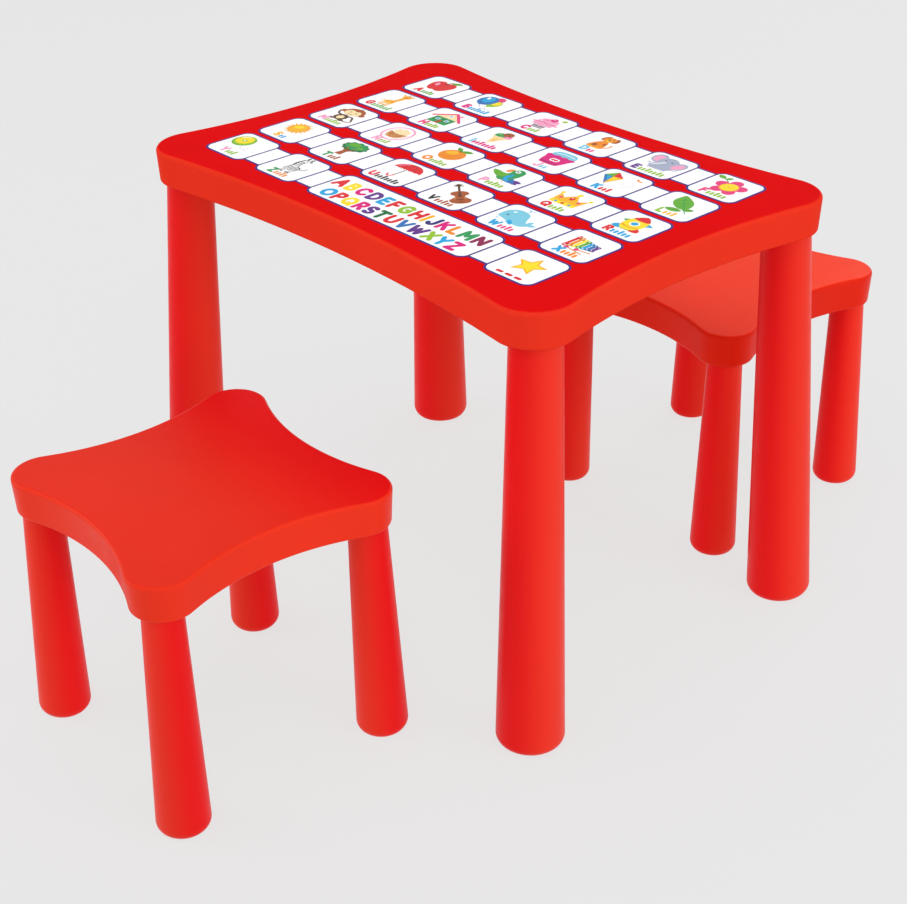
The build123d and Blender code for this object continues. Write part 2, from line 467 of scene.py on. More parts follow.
def spline(points, closed, steps=6):
    """Points of a smooth curve through the given ones (Catmull-Rom)."""
    count = len(points)
    line = []
    for i in range(count if closed else count - 1):
        if closed:
            a, b, c, d = (points[(i + k) % count] for k in (-1, 0, 1, 2))
        else:
            a, b, c, d = (points[min(max(i + k, 0), count - 1)] for k in (-1, 0, 1, 2))
        for step in range(steps):
            t = step / steps
            line.append(
                tuple(
                    0.5
                    * (
                        2 * b[k]
                        + (c[k] - a[k]) * t
                        + (2 * a[k] - 5 * b[k] + 4 * c[k] - d[k]) * t**2
                        + (3 * b[k] - a[k] - 3 * c[k] + d[k]) * t**3
                    )
                    for k in (0, 1)
                )
            )
    if not closed:
        line.append(points[-1])
    return line


def smooth(*points):
    return [spline(points, closed=True)]


def stroke(width, *points, curved=True):
    """A line of one width with round ends."""
    line = spline(points, closed=False) if curved and len(points) > 2 else list(points)
    left, right, caps = [], [], []
    for i, (x, y) in enumerate(line):
        before, after = line[max(i - 1, 0)], line[min(i + 1, len(line) - 1)]
        angle = math.atan2(after[1] - before[1], after[0] - before[0])
        across, along = -math.sin(angle) * width / 2, math.cos(angle) * width / 2
        left.append((x + across, y + along))
        right.append((x - across, y - along))
        if i in (0, len(line) - 1):
            caps.append(angle)
    steps = 8

    def cap(centre, angle):
        turned = math.degrees(angle)
        return [polar(*centre, width / 2, turned - 180 * k / steps) for k in range(1, steps)]

    end = cap(line[-1], caps[-1] + math.pi / 2)
    start = cap(line[0], caps[0] - math.pi / 2)
    return [left + end + right[::-1] + start]


LEAF_FULLNESS = 0.8  # below 1, a leaf keeps its width further towards its tips


def leaf(x0, y0, x1, y1, width):
    """A pointed leaf between its two tips."""
    along = Vector((x1 - x0, y1 - y0))
    across = Vector((-along.y, along.x)).normalized() * width / 2
    steps = 10
    sides = []
    for sign in (1, -1):
        for k in range(steps):
            t = k / steps if sign == 1 else 1 - k / steps
            belly = math.sin(math.pi * t) ** LEAF_FULLNESS
            bulge_x, bulge_y = sign * across.x * belly, sign * across.y * belly
            sides.append((x0 + along.x * t + bulge_x, y0 + along.y * t + bulge_y))
    return [sides]


def star(x, y, outer, inner, count, turn=90.0):
    return [[polar(x, y, inner if k % 2 else outer, turn + 180 * k / count) for k in range(2 * count)]]


POINTS_PER_WAVE = 8


def scallop(x, y, rx, ry, depth_x, depth_y, waves):
    """An ellipse with a wavy edge."""
    points = []
    for k in range(POINTS_PER_WAVE * waves):
        angle = 360 * k / (POINTS_PER_WAVE * waves)
        wave = math.cos(math.radians(waves * angle))
        points.append(polar(x, y, rx + depth_x * wave, angle, ry + depth_y * wave))
    return [points]


def rounded_box(x, y, width, height, radius):
    points = []
    for sx, sy, start in ((1, 1, 0), (-1, 1, 90), (-1, -1, 180), (1, -1, 270)):
        points += oval(
            x + sx * (width / 2 - radius), y + sy * (height / 2 - radius), radius,
            start=start, end=start + 90, steps=8,
        )[0]
    return [points]


def circle_of(count, x, y, reach, turn=0.0):
    """Places evenly round a centre."""
    for k in range(count):
        angle = turn + 360 * k / count
        yield *polar(x, y, reach, angle), angle


# ------------------------------------------------------------------ ink
ink_meshes = {}  # colour: (points, faces)


def add_slab(colour, points, triangles, layer):
    """A closed slab over flat triangles, given in metres, as high as its layer."""
    vertices, faces = ink_meshes.setdefault(colour, ([], []))
    base, count = len(vertices), len(points)
    low, high = FILM_TOP - INK_ROOT * MM, FILM_TOP + layer * INK_STEP * MM
    vertices += [(x, y, low) for x, y in points] + [(x, y, high) for x, y in points]
    edges = set()
    for a, b, c in triangles:
        (ax, ay), (bx, by), (cx, cy) = points[a], points[b], points[c]
        if (bx - ax) * (cy - ay) < (by - ay) * (cx - ax):
            b, c = c, b
        faces.append((base + count + a, base + count + b, base + count + c))
        faces.append((base + c, base + b, base + a))
        edges |= {(a, b), (b, c), (c, a)}
    for a, b in edges:
        if (b, a) not in edges:
            faces.append((base + a, base + b, base + count + b, base + count + a))


PICTURE_MIDDLE = (1.0, 5.0)
PICTURE_ZOOM = 1.16
VIOLIN_TURN = 50.0
VIOLIN_ZOOM = 1.42


class Card:
    """A patch of sticker round a centre: each paint() covers what is there already."""

    def __init__(self, centre):
        self.centre = centre
        self.layer = 0
        self.zoom = 1.0
        self.turn = 0.0

    def place(self, x, y):
        """Millimetres on the card to metres on the table, zoomed and turned about a picture's middle."""
        middle_x, middle_y = PICTURE_MIDDLE
        across, along = (x - middle_x) * self.zoom, (y - middle_y) * self.zoom
        cosine, sine = math.cos(math.radians(self.turn)), math.sin(math.radians(self.turn))
        return (
            self.centre[0] + (middle_x + across * cosine - along * sine) * MM,
            self.centre[1] + (middle_y + across * sine + along * cosine) * MM,
        )

    def paint(self, colour, *shapes):
        self.layer += 1
        self.lay(colour, shapes)

    def lay(self, colour, shapes):
        """Shapes of one layer; each lies a hair above the one before, so that none coincide."""
        for index, loops in enumerate(shapes):
            triangles = tessellate_polygon([[Vector((x, y, 0)) for x, y in loop] for loop in loops])
            points = [self.place(x, y) for loop in loops for x, y in loop]
            add_slab(colour, points, triangles, self.layer + LAYER_SPREAD * index / len(shapes))

    def letter(self, colour, text, x, y, height, weight):
        """A capital with its lower left corner at x, y, in the layer of what was painted last."""
        scale = height - weight
        strokes = []
        for points, curved in capital_strokes(text):
            placed = [(x + weight / 2 + px * scale, y + weight / 2 + py * scale) for px, py in points]
            strokes.append(stroke(weight, *placed, curved=curved))
        self.lay(colour, strokes)


# Plain round-ended capitals, as the middle lines of their strokes in units of the height:
# the width, the straight strokes and the curved ones.
BOWL = ((0, 1), (0.34, 1), (0.54, 0.88), (0.54, 0.6), (0.34, 0.46), (0, 0.46))
OPEN_ROUND = (
    (0.72, 0.82), (0.5, 0.99), (0.24, 0.95), (0.04, 0.7),
    (0.04, 0.3), (0.24, 0.05), (0.5, 0.01), (0.73, 0.18),
)
ROUND = (
    ((0.43, 1), (0.16, 0.88), (0, 0.5), (0.16, 0.12), (0.43, 0)),
    ((0.43, 1), (0.7, 0.88), (0.86, 0.5), (0.7, 0.12), (0.43, 0)),
)
STEM = ((0, 0), (0, 1))
CAPITALS = {
    "A": (0.8, (((0, 0), (0.4, 1), (0.8, 0)), ((0.15, 0.34), (0.65, 0.34))), ()),
    "B": (0.6, (STEM,), (((0, 1), (0.3, 1), (0.5, 0.9), (0.51, 0.68), (0.34, 0.54), (0, 0.53)),
                         ((0, 0.53), (0.38, 0.53), (0.58, 0.4), (0.58, 0.14), (0.38, 0), (0, 0)))),
    "C": (0.74, (), (OPEN_ROUND,)),
    "D": (0.7, (STEM,), (((0, 1), (0.32, 1), (0.6, 0.82), (0.7, 0.5), (0.6, 0.18), (0.32, 0), (0, 0)),)),
    "E": (0.54, (STEM, ((0.54, 1), (0, 1)), ((0, 0), (0.54, 0)), ((0, 0.51), (0.46, 0.51))), ()),
    "F": (0.54, (STEM, ((0.54, 1), (0, 1)), ((0, 0.5), (0.44, 0.5))), ()),
    "G": (0.76, (((0.74, 0.18), (0.74, 0.47)), ((0.74, 0.47), (0.46, 0.47))), (OPEN_ROUND,)),
    "H": (0.68, (STEM, ((0.68, 0), (0.68, 1)), ((0, 0.5), (0.68, 0.5))), ()),
    "I": (0.0, (STEM,), ()),
    "J": (0.5, (), (((0.5, 1), (0.5, 0.5), (0.48, 0.2), (0.34, 0.02), (0.13, 0.03), (0, 0.2)),)),
    "K": (0.62, (STEM, ((0.6, 1), (0.03, 0.45)), ((0.22, 0.62), (0.62, 0))), ()),
    "L": (0.52, (STEM, ((0, 0), (0.52, 0))), ()),
    "M": (0.84, (((0, 0), (0.05, 1), (0.42, 0.34), (0.79, 1), (0.84, 0)),), ()),
    "N": (0.7, (((0, 0), (0, 1), (0.7, 0), (0.7, 1)),), ()),
    "O": (0.86, (), ROUND),
    "P": (0.54, (STEM,), (BOWL,)),
    "Q": (0.86, (((0.52, 0.28), (0.84, -0.05)),), ROUND),
    "R": (0.58, (STEM, ((0.26, 0.46), (0.58, 0))), (BOWL,)),
    "S": (0.58, (), (oval(0.29, 0.75, 0.28, 0.25, start=35, end=270, steps=7)[0],
                     oval(0.29, 0.25, 0.29, 0.25, start=90, end=-145, steps=7)[0])),
    "T": (0.7, (((0, 1), (0.7, 1)), ((0.35, 1), (0.35, 0))), ()),
    "U": (0.7, (), (((0, 1), (0, 0.45), (0.09, 0.11), (0.35, 0), (0.61, 0.11), (0.7, 0.45), (0.7, 1)),)),
    "V": (0.74, (((0, 1), (0.37, 0), (0.74, 1)),), ()),
    "W": (1.04, (((0, 1), (0.26, 0), (0.52, 0.8), (0.78, 0), (1.04, 1)),), ()),
    "X": (0.68, (((0, 1), (0.68, 0)), ((0, 0), (0.68, 1))), ()),
    "Y": (0.7, (((0, 1), (0.35, 0.46), (0.7, 1)), ((0.35, 0.46), (0.35, 0))), ()),
    "Z": (0.64, (((0, 1), (0.64, 1), (0, 0), (0.64, 0)),), ()),
}


def capital_strokes(text):
    """Each stroke of a capital: its points, and whether it is curved."""
    _, straight, curved = CAPITALS[text]
    for line in straight:
        for pair in zip(line, line[1:]):
            yield pair, False
    for line in curved:
        yield line, True


def capital_width(text, height, weight):
    return CAPITALS[text][0] * (height - weight) + weight


def finish_inks():
    for colour, (vertices, faces) in sorted(ink_meshes.items()):
        mesh = bpy.data.meshes.new(f"print_{colour}")
        mesh.from_pydata(vertices, [], faces)
        mesh.validate()
        glow = WHITE_PAINTED_GLOW if colour == "white" else 0.0
        mesh.materials.append(printed_film(f"ink_{colour}", INKS[colour], glow))
        ink = bpy.data.objects.new(f"print_{colour}", mesh)
        bpy.context.scene.collection.objects.link(ink)
        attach(ink, "table")


# ------------------------------------------------------------------ pictures
# In millimetres from the card's middle and before its zoom, each picture is centred near (1, 5).
def apple(card):
    card.paint("red", smooth((1, 15), (7, 18), (14, 15), (16, 7), (12, -4), (6, -8), (1, -6.5), (-4, -8),
                             (-10, -4), (-14, 7), (-12, 15), (-5, 18)))
    card.paint("dark_red", smooth((1, 13.2), (5, 15), (1, 11.6), (-3, 15)))
    card.paint("pink", oval(-7, 8, 2.2, 4.4, 20))
    card.paint("dark_brown", stroke(1.6, (1, 13), (1.5, 17), (4, 20.5)))
    card.paint("leaf", leaf(3, 18, 15, 23, 6))
    card.paint("dark_green", stroke(0.5, (4, 18.4), (13, 22.2)))


def balloons(card):
    card.paint("grey", stroke(0.5, (-8, -3), (-4, -8), (3, -11), (10, -10)),
               stroke(0.5, (2, -3), (2, -7), (8, -10.5), (13, -10)))
    card.paint("rose", oval(-1.6, 17.2, 6.6, 7.4), oval(1.6, 10.4, 1.2))
    card.paint("lime", oval(3.2, 6, 6.6, 9, -12), polygon((1, -4.6), (4.2, -4.2), (2.8, -2.4)))
    card.paint("yellow", oval(4.2, 8.4, 4.2, 5.6, -12))
    card.paint("blue", oval(-9.4, 9.4, 10.4, 12.4, 8), polygon((-10.2, -4.4), (-7, -4), (-8.4, -2)))
    card.paint("cyan", oval(-10.6, 11.6, 6.4, 8, 8))
    card.paint("white", oval(-13.4, 14.6, 1.6, 3.2, 20))


def cake(card):
    card.paint("grey", polygon((-7.4, -3), (9, -3), (7, -10.6), (-5.4, -10.6)))
    card.paint("brown", *[polygon((x, -4), (x + 1.6, -4), (x + 1.3, -10.6), (x + 0.5, -10.6))
                          for x in (-5.4, -1.4, 2.6, 6.4)])
    card.paint("pink", scallop(0.6, 3.6, 14.6, 7.6, 1.8, 1.2, 8), oval(0.6, 10, 11, 6.6))
    card.paint("rose", stroke(1, (-11, 3), (-4, 5.4), (4, 3.2), (12, 5.4)),
               stroke(1, (-6.6, 10.4), (0.6, 12.2), (7.6, 10.4)))
    card.paint("magenta", oval(2, 15.4, 3.8))
    card.paint("white", oval(0.8, 16.8, 0.9), oval(-8, 8, 1), oval(9, 8.6, 0.9))
    card.paint("lime", oval(12, 19.4, 2.8, 2.2, 40))


def dog(card):
    card.paint("orange", stroke(2, (8, -6), (12.4, -2), (12, 4)),
               smooth((-4, 8), (4, 8), (7.6, 0), (9, -8.6), (0, -10), (-9, -8.6), (-8, 0)))
    card.paint("brown", oval(-3.4, -3, 2.6, 3.6, 20), oval(4.4, 2, 1.8, 2.4),
               smooth((-8, 19), (-4, 22), (-2, 17), (-6, 10), (-9, 13)),
               smooth((10, 17.6), (6, 21.4), (3, 17), (6, 10), (10, 12)))
    card.paint("orange", oval(0, 14.6, 7, 6.2))
    card.paint("gold", oval(0.6, 12, 3.6, 2.8), oval(-3.6, -9, 3.2, 1.6), oval(4.4, -9, 3.2, 1.6))
    card.paint("dark_brown", oval(0.6, 13.4, 1.5, 1), oval(-2.8, 16.4, 0.9), oval(3.4, 16.4, 0.9))


def elephant(card):
    card.paint("grey", stroke(1, (12, -2), (17, -3), (20, -1)), oval(1.6, -1, 13.4, 8.4),
               polygon((-9, 0), (-2, 0), (-2, -10.6), (-9, -10.6)),
               polygon((5, 0), (12, 0), (12, -10.6), (5, -10.6)))
    card.paint("grey", oval(-12.4, 13.6, 7.8, 10, 18), oval(14, 7.6, 7.6, 10, -20))
    card.paint("pink", oval(-12.6, 13, 5.4, 7.4, 18), oval(14.4, 7, 5, 7.2, -20))
    card.paint("grey", oval(0, 11, 10.4, 9.4))
    card.paint("pale_grey", stroke(3.6, (-2, 8), (-5, 2), (-10, -1), (-14, 1)))
    card.paint("black", oval(-4.4, 12.4, 0.9), oval(4, 11.6, 0.9))
    card.paint("white", *[oval(x, -10, 1, 0.8) for x in (-8, -5.5, -3, 6, 8.5, 11)])


def flower(card):
    card.paint("green", stroke(1, (-18, 19), (-12, 16), (-6, 12)))
    card.paint("leaf", leaf(-14, 17, -24, 21.6, 6), leaf(-13, 15.6, -9, 22.6, 5))
    card.paint("rose", *[oval(x, y, 6.8, 6.2, angle) for x, y, angle in circle_of(5, 1.4, 3.4, 10.4, 90)])
    card.paint("magenta", *[stroke(0.7, polar(1.4, 3.4, 9, a), polar(1.4, 3.4, 13.4, a))
                            for a in range(90, 450, 72)])
    card.paint("gold", oval(1.4, 3.4, 9))
    card.paint("yellow", oval(1.4, 3.8, 7.8))
    card.paint("gold", *[oval(x, y, 0.7) for x, y, _ in circle_of(8, 1.4, 3.8, 4.6)], oval(1.4, 3.8, 1.4))


def giraffe(card):
    card.paint("gold", smooth((-6.4, -4), (-5, 1), (0, 3), (5, 2), (6, -4), (0, -6)),
               stroke(5.2, (2.4, 0), (3.4, 8), (3.8, 15)),
               *[stroke(2, (x, -4), (x - 0.4, -12.4)) for x in (-4.6, -1.4, 2.6, 5.6)],
               stroke(1, (-6, -2), (-9.4, 0), (-11, -3)))
    card.paint("gold", oval(4, 18, 5.4, 4.4), leaf(0, 20, -4.4, 22.4, 2.8), leaf(8, 20, 12, 22, 2.8))
    spots = (
        (-3.4, -1, 1.5), (0.4, 1, 1.6), (3.4, -1.6, 1.4),
        (2.6, 4.4, 1.3), (4.2, 8.2, 1.3), (3, 12, 1.2),
    )
    card.paint("orange", *[oval(x, y, r, r * 0.8, 20) for x, y, r in spots],
               *[stroke(1.9, (x - 0.4, -11.6), (x - 0.4, -12.4)) for x in (-4.6, -1.4, 2.6, 5.6)],
               oval(4.6, 16.4, 3.4, 2.2))
    card.paint("brown", stroke(0.9, (2.4, 21.6), (2, 25)), stroke(0.9, (5.6, 21.6), (6.2, 25)),
               oval(2.2, 19.4, 0.7), oval(6, 19.4, 0.7))


def house(card):
    card.paint("green", polygon((-12.4, 8.4), (13.4, 8.4), (13.4, -9.6), (-12.4, -9.6)))
    card.paint("pink", polygon((6, 12), (10, 9), (10, 21), (6, 21)))
    card.paint("cream", polygon((-15, 6), (0.5, 20), (16, 6)))
    card.paint("rose", stroke(3, (-17.6, 5), (0.5, 21), curved=False),
               stroke(3, (0.5, 21), (18.4, 5), curved=False))
    card.paint("dark_green", stroke(0.8, (-11.6, -3.4), (12.6, -3.4)), stroke(0.8, (-11.6, 2), (12.6, 2)))
    card.paint("white", rounded_box(-5.6, 0, 4.6, 4.6, 0.7), rounded_box(6.6, 0, 4.6, 4.6, 0.7),
               oval(0.5, 12, 2.4))
    card.paint("brown", rounded_box(0.5, -5.6, 4.6, 8, 0.7))
    card.paint("cyan", rounded_box(-5.6, 0, 3.2, 3.2, 0.4), rounded_box(6.6, 0, 3.2, 3.2, 0.4),
               oval(0.5, 12, 1.5))


def ice_cream(card):
    card.paint("cream", polygon((-9, 6), (7, 6), (-1, -13)))
    card.paint("gold", *[stroke(0.7, (x, 5.4), (-1 + (x + 1) * 0.1 + 3.2, -6)) for x in (-7, -3)],
               *[stroke(0.7, (x, 5.4), (-1 + (x + 1) * 0.1 - 3.2, -6)) for x in (5, 1)])
    card.paint("pink", oval(3.4, 10.6, 6.2, 5.6))
    card.paint("green", oval(-5, 11, 6.2, 5.6))
    card.paint("brown", oval(0.6, 16.6, 5.8, 5))
    card.paint("cream", stroke(1.8, (-10.4, 7), (-5, 6), (0, 7), (4, 6), (8.6, 7)))
    card.paint("lime", oval(-6.6, 13, 1.6, 1), oval(-2.6, 9.6, 1, 0.8))
    card.paint("rose", oval(6, 12.6, 1.5, 1), oval(2, 9.4, 1, 0.8))
    card.paint("dark_green", oval(-1.4, 18.2, 1.3, 0.9))


def jam(card):
    card.paint("magenta", smooth((-15, 12.4), (14.6, 12.4), (14.2, 4), (11.6, -6), (8, -9.4), (-8, -9.4),
                                 (-11.8, -6), (-14.6, 4)))
    card.paint("maroon", stroke(1.4, (-9.6, -5.4), (0, -6.6), (9.6, -5.4)))
    card.paint("sky", smooth((-14, 13), (-12, 20), (-5, 22), (5, 22), (12, 20), (14.4, 13), (9, 11.4),
                             (4, 13), (0, 11.4), (-4, 13), (-9, 11.4)))
    card.paint("white", stroke(0.9, (-11.4, 16.4), (0, 18), (11.6, 16.4)),
               rounded_box(0, 1.6, 10, 6.6, 2.4))
    card.paint("red", oval(-1.7, 1.4, 1.9), oval(1.9, 1.6, 1.9))


def kite(card):
    card.paint("pale_grey", stroke(0.7, (-7.2, -6.8), (-2, -9), (6, -7), (13, -3), (17, 4), (14, 10),
                                   (8, 10), (6, 5), (10, 1)))
    card.paint("orange", leaf(13, 17, 9.6, 21, 2.6), leaf(13, 17, 17.4, 18.4, 2.6))
    card.paint("leaf", polygon((-13, 21.6), (-20.6, 9.6), (-11, 10.6)))
    card.paint("red", polygon((-13, 21.6), (-11, 10.6), (-0.4, 12.2)))
    card.paint("blue", polygon((-20.6, 9.6), (-11, 10.6), (-7.1, -7)))
    card.paint("gold", polygon((-11, 10.6), (-0.4, 12.2), (-7.1, -7)))
    card.paint("yellow", polygon((-9.8, 8.6), (-4, 9.6), (-7.2, -1)))
    card.paint("cyan", polygon((-17, 8.6), (-12, 9.2), (-9.6, 0)))


def leaves(card):
    card.paint("green", stroke(1, (6, -1), (10, -5), (14, -9)))
    card.paint("leaf", smooth((-11, 23), (-3, 19.6), (5, 14), (9, 6), (8.6, -2.6), (1, -3.6), (-7.6, 1),
                              (-12.6, 8), (-12.8, 16)),
               leaf(7, -4.6, 15.6, 1.6, 6), leaf(8.6, -7, -8, -9.6, 8))
    card.paint("green", stroke(0.9, (-9, 19.4), (-3, 10), (3, 3), (8, -3)),
               *[stroke(0.6, (x, y), (x + dx, y + dy))
                 for x, y in ((-6, 14.4), (-2, 8.8), (2, 4)) for dx, dy in ((6, 1.6), (-3.4, -6))])
    card.paint("dark_green", stroke(0.5, (6, -7.8), (-5.6, -9.2)), stroke(0.5, (9, -3.6), (14, 0.4)))


def monkey(card):
    card.paint("dark_brown", stroke(2.2, (-5, 1), (-11, 3), (-14.6, 9)),
               stroke(2.2, (6, 1), (12, 1), (16, -4)),
               stroke(1.6, (5, -7), (12, -11), (19, -9), (17, -4)), oval(0.6, -4, 8, 7.4),
               oval(-6, -11, 3.4, 1.9), oval(7.4, -11, 3.4, 1.9))
    card.paint("brown", oval(1, 13.6, 12.6, 9.4), oval(-12, 11, 3.2), oval(14, 11, 3.2))
    card.paint("cream", smooth((1, 15.4), (6, 17), (10.6, 13), (9.4, 7), (1, 4.4), (-7.4, 7), (-8.6, 13),
                               (-4, 17)), oval(0.6, -4.6, 4, 4.4))
    card.paint("dark_brown", oval(-3, 11.6, 1), oval(5, 11.6, 1),
               stroke(0.7, (-2, 7.4), (1, 6.6), (4, 7.4)), stroke(1, (0, 22), (2, 24.6)))


def nest(card):
    card.paint("pink", oval(-0.4, 5, 16.4, 18) + oval(-0.4, 5, 14.2, 15.8))
    card.paint("cream", oval(-5, 9.4, 4.2, 6.4, 14), oval(4.6, 9.4, 4.2, 6.4, -14),
               oval(-0.2, 11, 4.4, 6.8))
    card.paint("tan", smooth((-11.6, 7), (-6, 5), (-0.4, 4.2), (6, 5), (11, 7), (9.4, -1), (5, -6),
                             (-5.6, -6), (-10, -1)))
    card.paint("brown", *[stroke(0.9, (-10 + k, 5 - k * 1.5), (-0.4, 2.6 - k * 2), (9.4 - k, 5 - k * 1.5))
                          for k in (0, 1.7, 3.4)],
               stroke(0.7, (-8, 0), (-3, 2.4)), stroke(0.7, (7.6, 1), (3, -2.8)))


def orange(card):
    card.paint("orange", oval(1, 4, 13.6, 12.6))
    card.paint("gold", oval(-3, 8, 6.4, 4.6, 28))
    pores = ((4, 0.4), (6, 1.9), (8, 3.2), (7, 4.4), (9, 5.4), (4, 5), (10, 0.1), (9, 3.9), (5, 3.0))
    card.paint("brown", *[oval(1 + r * math.cos(a), 3 + r * math.sin(a), 0.35) for r, a in pores])
    card.paint("dark_green", star(1, 15.4, 2.4, 1, 5))
    card.paint("leaf", leaf(1, 15.8, 13, 20, 6), leaf(1, 16, -8, 21.5, 5))
    card.paint("dark_green", stroke(0.5, (3, 16.4), (11, 19.4)), stroke(0.5, (-0.4, 16.8), (-6.8, 20.8)))


def parrot(card):
    card.paint("orange", stroke(1, (-2, -5), (-3, -9)), stroke(1, (3, -5), (4, -9)))
    card.paint("purple", leaf(8, -2, 21, -1, 6.4), leaf(8, -3, 20, -6, 5))
    card.paint("blue", smooth((2, 1), (6, 4), (13, -2), (15, -6), (8, -7), (0, -5)))
    card.paint("green", smooth((-6, 17), (-1, 22.6), (6, 20.4), (8.6, 13), (8, 4), (5, -4), (-3, -6.4),
                               (-9, -2), (-8, 6), (-5, 11)))
    card.paint("leaf", smooth((-3, 8), (-10, 8), (-17, 9.4), (-22, 8), (-18, 3), (-11, -1), (-4, -1)))
    card.paint("cyan", smooth((1, 10), (-2, 4), (0, -3), (6, -6), (8, -4), (3, 0), (3, 6)))
    card.paint("orange", smooth((-6, 19), (-10, 17.4), (-11.4, 12.4), (-7.4, 12)))
    card.paint("white", oval(-0.6, 17, 2.6))
    card.paint("black", oval(-1, 17, 1.2))


def crown(card):
    card.paint("gold", polygon((-13, -5), (15, -5), (17.5, 12), (9.4, 5.4), (1, 16), (-7.4, 5.4),
                               (-15.5, 12)))
    card.paint("yellow", rounded_box(1, -5.6, 29, 5.6, 1.4), oval(17.5, 13, 2.2), oval(-15.5, 13, 2.2),
               oval(1, 17.6, 2.6))
    card.paint("red", oval(1, -5.6, 1.9), oval(1, 7, 2.6, 3.4))
    card.paint("cyan", oval(-7, -5.6, 1.5), oval(9, -5.6, 1.5))
    card.paint("rose", oval(-9.4, 3.6, 1.5, 2), oval(11.4, 3.6, 1.5, 2))
    card.paint("white", oval(0.2, 8.4, 0.7))


def rocket(card):
    card.paint("green", polygon((-7, 14), (-15, 7.4), (-8, 4)), stroke(3, (-3, -8), (3, -8)))
    card.paint("cyan", polygon((7, 14), (16.4, 9.6), (8, 4)),
               smooth((-7, -2), (-13, -4), (-13.6, -9), (-5, -9.4)))
    card.paint("red", smooth((7, -2), (13, -4), (13.6, -9), (5, -9.4)))
    card.paint("yellow", smooth((0, 21), (7.6, 16.4), (10.6, 7), (9.6, -2), (5, -8), (-5, -8), (-9.6, -2),
                                (-10.6, 7), (-7.6, 16.4)))
    card.paint("red", smooth((0, 23), (5.6, 19), (8.2, 14), (0, 12.4), (-8.2, 14), (-5.6, 19)))
    card.paint("orange", stroke(1.3, (-9.4, -1), (0, -3.4), (9.4, -1)))
    card.paint("white", oval(0, 5, 4.6))
    card.paint("cyan", oval(0, 5, 3.4))


def sun(card):
    card.paint("gold", *[polygon((x, y), polar(-1.6, 6.6, 15.6, a + 10), polar(-1.6, 6.6, 9, a + 22))
                         for x, y, a in circle_of(18, -1.6, 6.6, 9)])
    card.paint("orange", oval(-1.6, 6.6, 10.8))
    card.paint("gold", oval(-1.6, 6.6, 9.8))
    card.paint("yellow", oval(-3.6, 9.2, 5, 3.8, 30))


def tree(card):
    card.paint("brown", polygon((-4, -9.4), (4.2, -9.4), (3, 0), (9, 8), (-9, 8), (-2.8, 0)))
    card.paint("dark_green", scallop(-0.2, 13.4, 15.2, 10.2, 0.7, 0.7, 11))
    card.paint("green", oval(-0.2, 14.6, 13.4, 8.2))
    card.paint("leaf", oval(-4.4, 16.6, 6.4, 4, 12), oval(6, 13.6, 4, 2.6, 12))
    card.paint("brown", stroke(1.3, (0, 1), (-4, 7), (-6, 9.6)), stroke(1.3, (0, 1), (4, 7), (6, 9)))


def umbrella(card):
    card.paint("black", stroke(1.2, (1, 20), (1, -6), curved=False))
    card.paint("red", stroke(1.7, (1, -5), (0.4, -9.6), (-3.4, -10.6), (-5.4, -7)))
    dome = oval(1, 8, 17.4, 15, start=0, end=180, steps=30)[0]
    for k in range(5):
        dome += oval(-12.92 + 6.96 * k, 8, 3.48, 2, start=180, end=0, steps=8)[0][1:]
    card.paint("red", [dome[:-1]])
    card.paint("dark_red", *[stroke(0.7, (1, 22.4), (1 + x * 0.7, 16), (1 + x, 8.4)) for x in (-7, 7)])
    card.paint("pink", stroke(1.3, (-12.4, 12.6), (-9.6, 17), (-6, 19.4)))


def violin(card):
    card.turn, card.zoom = VIOLIN_TURN, VIOLIN_ZOOM
    card.paint("dark_brown", stroke(1.8, (1, 8), (1, 21), curved=False), oval(1, 22, 2, 2.6),
               stroke(1.1, (-2.2, 20.4), (4.2, 20.4)), stroke(1.1, (-1.8, 22.6), (3.8, 22.6)))
    card.paint("brown", smooth((1, 11), (6.6, 9), (7.6, 4.6), (4.6, 1.6), (6, -2), (9, -6), (7, -11),
                               (1, -12.6), (-5, -11), (-7, -6), (-4, -2), (-2.6, 1.6), (-5.6, 4.6),
                               (-4.6, 9)))
    card.paint("tan", stroke(0.9, (-2.4, -0.4), (-3, -3.6)), stroke(0.9, (4.4, -0.4), (5, -3.6)))
    card.paint("dark_brown", polygon((0.1, 9), (1.9, 9), (2.2, 0), (-0.2, 0)),
               stroke(1.2, (-1, -5), (3, -5)), stroke(1.3, (0.2, -9.4), (1.8, -9.4)))
    card.turn, card.zoom = 0.0, PICTURE_ZOOM


def whale(card):
    card.paint("sky", smooth((-20, 3), (-19, 12), (-12, 18), (-3, 18), (4, 14), (8, 6), (12, 0.6), (17, -1),
                             (15, -6), (9, -8.6), (-12, -8.6), (-18, -4)),
               leaf(14, -3, 23, 1.6, 4.6), leaf(14, -2, 15.6, 7, 4.4))
    card.paint("cyan", stroke(0.8, (-3, 19), (-3, 22), (-6, 23.6)),
               stroke(0.8, (-3, 19), (-3, 22), (0, 23.6)), leaf(-4, -3, 4, -11, 4.4))
    card.paint("white", smooth((-18, -3), (-12, -4.4), (-6, -6), (-4, -8.2), (-12, -8.2), (-16, -5.6)),
               oval(-12, 12, 1.8, 1.2, 30))
    card.paint("black", oval(-13, 4, 1.1))


